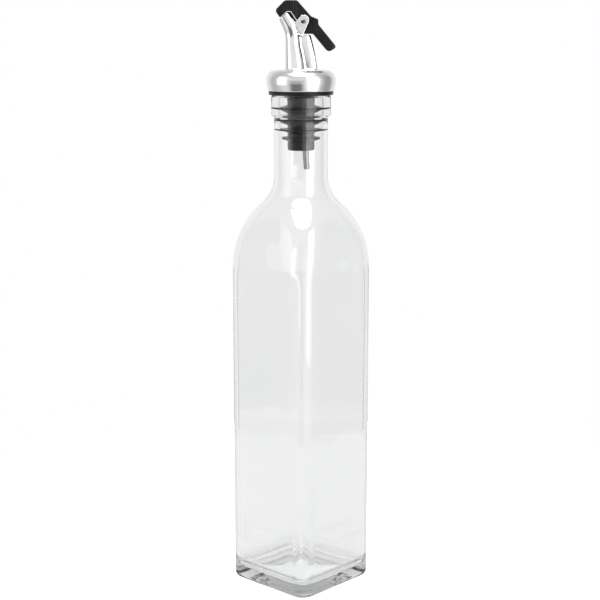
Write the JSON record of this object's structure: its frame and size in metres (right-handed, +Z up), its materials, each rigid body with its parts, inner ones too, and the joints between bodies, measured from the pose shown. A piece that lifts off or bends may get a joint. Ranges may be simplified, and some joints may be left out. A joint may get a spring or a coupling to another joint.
{
  "type": "oil bottle",
  "caption": "Tall square clear glass oil bottle, empty, with a finned black stopper, a satin collar and a chrome spout whose black lever lifts a cap off its mouth",
  "frame": {"origin": "centre of the base, on the surface the bottle stands on", "axes": "+Z up along the bottle's axis; its flat sides are square to X and Y; the spout leans towards the corner at -X and -Y, and the lever's tail points to +X and +Y"},
  "size_m": [0.056, 0.056, 0.3105],
  "materials": {
    "clear_glass": "clear, polished, soda lime",
    "black_rubber": "matt moulded",
    "tube_steel": "plain drawn, slightly dull",
    "satin_steel": "satin",
    "bright_chrome": "bright plated",
    "black_plastic": "moulded, soft sheen"
  },
  "bodies": {
    "bottle": {"bottle_glass": "clear_glass", "stopper": "black_rubber", "air_tube": "tube_steel", "collar": "satin_steel", "spout": "bright_chrome", "hinge_pin": "tube_steel"},
    "lever": {"lever": "black_plastic"}
  },
  "joints": [
    {"name": "lever_hinge", "type": "hinge", "parent": "bottle", "child": "lever", "pos_m": [0.00071, 0.00071, 0.2997], "axis": [-0.7071, 0.7071, 0], "range_deg": [0, 20]}
  ]
}
